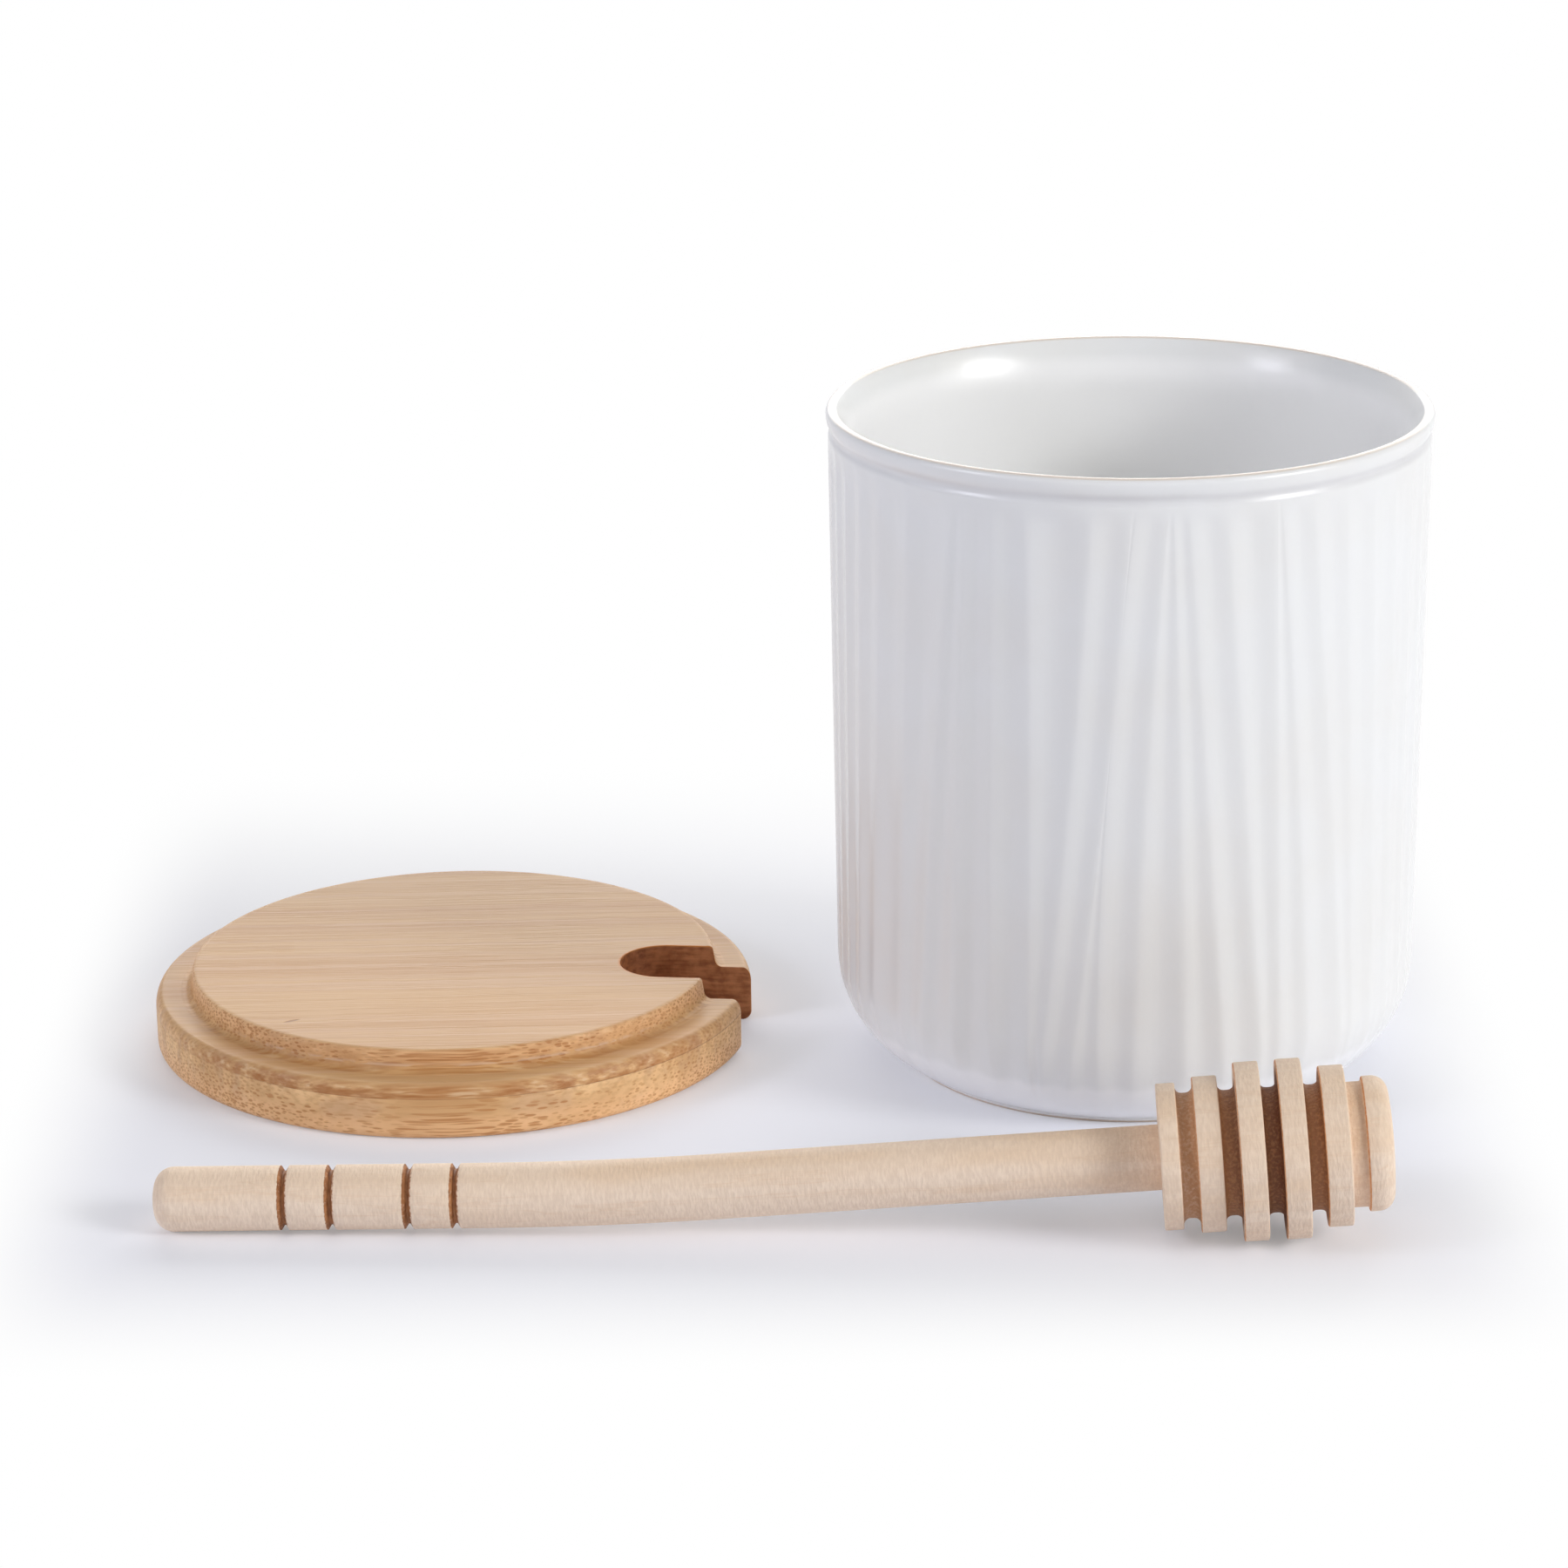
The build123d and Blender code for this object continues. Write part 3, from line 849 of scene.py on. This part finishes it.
pale_wood, tree, shader = new_finish("pale_turned_wood", 0.6, IOR=1.45)
along = attribute(tree, "turned", "Vector")
grain = drawn_out(tree, along, (0.028, 0.52, 0.52), detail=4.0)
blush = drawn_out(tree, along, (0.03, 0.15, 0.15), detail=2.0)
fuzz = drawn_out(tree, along, (3.2, 0.9, 0.9), detail=3.0)
speck = shade(tree, "TexNoise", {"Vector": along, "Scale": 2.6, "Detail": 2.0}).outputs["Fac"]
bare_wood = tint(tree, ease(tree, grain, 0.38, 0.7, at_high=0.35), wood_pale, wood_streak)
bare_wood = tint(tree, ease(tree, blush, 0.5, 0.72, at_high=0.4), bare_wood, wood_warm)
bare_wood = tint(tree, ease(tree, fuzz, 0.35, 0.7, at_low=0.3, at_high=0.0), bare_wood, nap_shade)
line = sum_up(tree, "ABSOLUTE", sum_up(tree, "SUBTRACT", grain, 0.53))
bare_wood = tint(tree, ease(tree, line, 0.014, 0.003, at_high=0.14), bare_wood, ring_line)
upper_side = shade(tree, "SeparateXYZ", {0: along}).outputs["Z"]
bare_wood = tint(tree, ease(tree, upper_side, 0.5, 3.2, at_high=0.25), bare_wood, wood_warm)
# Brown stain and painted shade in the gaps, and the head's painted shadow on the stick.
stain_and_shade = attribute(tree, "stain_and_shade")
stain_and_shade = sum_up(tree, "MULTIPLY", stain_and_shade, ease(tree, speck, 0.3, 0.6, at_low=0.7))
bare_wood = tint(tree, ease(tree, stain_and_shade, 0.0, 0.5), bare_wood, stain_and_shade_light)
bare_wood = tint(tree, ease(tree, stain_and_shade, 0.4, 1.0), bare_wood, stain_and_shade_dark)
# Painted light: an orange glow along each disc's left edge.
edge_light = attribute(tree, "painted_edge_light")
edge_light = sum_up(tree, "MULTIPLY", edge_light, ease(tree, speck, 0.3, 0.6, at_low=0.6))
bare_wood = tint(tree, edge_light, bare_wood, edge_light_orange)
burnt = attribute(tree, "burnt")
burnt = sum_up(tree, "ADD", burnt, ease(tree, speck, 0.3, 0.7, at_low=-0.2, at_high=0.2))
char = tint(tree, ease(tree, fuzz, 0.3, 0.7), char_dark, char_light)
bare_wood = tint(tree, ease(tree, burnt, 0.15, 0.6), bare_wood, char)
tree.links.new(bare_wood, shader.inputs["Base Color"])
rough = sum_up(tree, "ADD", fuzz, sum_up(tree, "MULTIPLY", grain, 0.5))
fluff = sum_up(tree, "MULTIPLY", sum_up(tree, "MULTIPLY", stain_and_shade, speck), 2.0)
rough = sum_up(tree, "ADD", rough, fluff)
nap = shade(tree, "Bump", {"Height": rough, "Strength": 0.6, "Distance": 0.0002}).outputs[0]
tree.links.new(nap, shader.inputs["Normal"])

finish_piece(wood, "dipper_stick", pale_wood, "dipper", ["dipper"], crease=40)


# ---- The table, the light and the camera
# A white table that fades into a white room. A soft lamp hangs on each side, the right one
# stronger, and pale walls and a ceiling all round send their light back.

table = bmesh.new()
bmesh.ops.create_grid(table, x_segments=2, y_segments=2, size=4.0)
table_mesh = bpy.data.meshes.new("table_top")
table.to_mesh(table_mesh)
table.free()
table_top = bpy.data.objects.new("table_top", table_mesh)
bpy.context.scene.collection.objects.link(table_top)

fade_left = (-0.125, -0.147)
fade_right = (0.030, 0.053)
fade_front = (-0.062, -0.103)
fade_back = (0.010, 0.124)
table_glow = 0.22
table_white = colour(246, 247, 255)
room_tone = (0.97, 0.955, 1.0, 1)
room_light = 0.06


def looked_at(tree):
    """1 for what the camera sees straight, in a gloss or through glass, and 0 for other rays."""
    rays = shade(tree, "LightPath").outputs
    seen = sum_up(tree, "MAXIMUM", rays["Is Camera Ray"], rays["Is Glossy Ray"])
    return sum_up(tree, "MAXIMUM", seen, rays["Is Transmission Ray"])


paper, tree, shader = new_finish("white_table", 0.9, Specular_IOR_Level=0.0)
shader.inputs["Base Color"].default_value = table_white
at = shade(tree, "TexCoord").outputs["Object"]
place = shade(tree, "SeparateXYZ", {0: at}).outputs
kept = ease(tree, place["X"], *fade_left, at_low=1.0, at_high=0.0)
kept = sum_up(tree, "MULTIPLY", kept, ease(tree, place["X"], *fade_right, at_low=1.0, at_high=0.0))
kept = sum_up(tree, "MULTIPLY", kept, ease(tree, place["Y"], *fade_front, at_low=1.0, at_high=0.0))
kept = sum_up(tree, "MULTIPLY", kept, ease(tree, place["Y"], *fade_back, at_low=1.0, at_high=0.0))
seen = looked_at(tree)
glow = shade(tree, "Emission", {"Color": (1, 1, 1, 1), "Strength": 1.0}).outputs[0]
kept = sum_up(tree, "MULTIPLY", kept, 1.0 - table_glow)
fade = sum_up(tree, "MULTIPLY", sum_up(tree, "SUBTRACT", 1.0, kept), seen)
mixed = shade(tree, "MixShader", {0: fade, 1: shader.outputs[0], 2: glow}).outputs[0]
tree.links.new(mixed, tree.nodes["Material Output"].inputs["Surface"])
table_mesh.materials.append(paper)

room = bpy.data.worlds.new("white_room")
bpy.context.scene.world = room
room.use_nodes = True
tree = room.node_tree
seen = looked_at(tree)
even = shade(tree, "Background", {"Color": room_tone, "Strength": room_light}).outputs[0]
white = shade(tree, "Background", {"Color": (1, 1, 1, 1), "Strength": 1.0}).outputs[0]
room_mix = shade(tree, "MixShader", {0: seen, 1: even, 2: white}).outputs[0]
tree.links.new(room_mix, tree.nodes["World Output"].inputs["Surface"])


def soft_lamp(name, bearing, climb, width, height, power, tone):
    """Hang a soft lamp that faces the pot, at a bearing to the right of the front and a climb."""
    level = lamp_distance * cos(radians(climb))
    lamp = bpy.data.lights.new(name, "AREA")
    lamp.shape = "RECTANGLE"
    lamp.size = width
    lamp.size_y = height
    lamp.energy = power
    lamp.color = tone
    hung = bpy.data.objects.new(name, lamp)
    hung.location = (
        level * sin(radians(bearing)),
        -level * cos(radians(bearing)),
        lamp_distance * sin(radians(climb)) + lamp_aim.z,
    )
    hung.rotation_euler = (lamp_aim - hung.location).to_track_quat("-Z", "Y").to_euler()
    bpy.context.scene.collection.objects.link(hung)


lamp_distance = 2.5
lamp_aim = Vector((0, 0, 0.04))
plain_white = (1.0, 1.0, 1.0)
cool_white = (0.88, 0.89, 1.0)
warm_white = (1.0, 0.99, 0.97)
soft_lamp("right_lamp", bearing=60, climb=24, width=0.85, height=0.66, power=26.5, tone=plain_white)
soft_lamp("right_wall", bearing=62, climb=16, width=2.0, height=1.4, power=13.5, tone=plain_white)
soft_lamp("left_lamp", bearing=-68, climb=28, width=0.6, height=0.5, power=10.0, tone=cool_white)
soft_lamp("left_wall", bearing=-70, climb=24, width=2.0, height=1.6, power=13.5, tone=cool_white)
soft_lamp("front_wall", bearing=-5, climb=15, width=2.0, height=1.0, power=4.2, tone=plain_white)
soft_lamp("back_wall", bearing=175, climb=26, width=2.4, height=1.8, power=40.0, tone=warm_white)
soft_lamp("ceiling", bearing=0, climb=85, width=2.0, height=2.0, power=7.5, tone=plain_white)

camera_place = (-0.044925, -0.606029, 0.236299)
camera_pitch = radians(71.764)
camera_roll = radians(-0.738)
camera = bpy.data.cameras.new("camera")
camera.lens = 111.3148
camera.sensor_width = 36.0
standing = bpy.data.objects.new("camera", camera)
pitch = Matrix.Rotation(camera_pitch, 4, "X")
roll = Matrix.Rotation(camera_roll, 4, "Z")
standing.matrix_world = Matrix.Translation(camera_place) @ pitch @ roll
bpy.context.scene.collection.objects.link(standing)
bpy.context.scene.camera = standing
bpy.context.scene.view_settings.view_transform = "Standard"
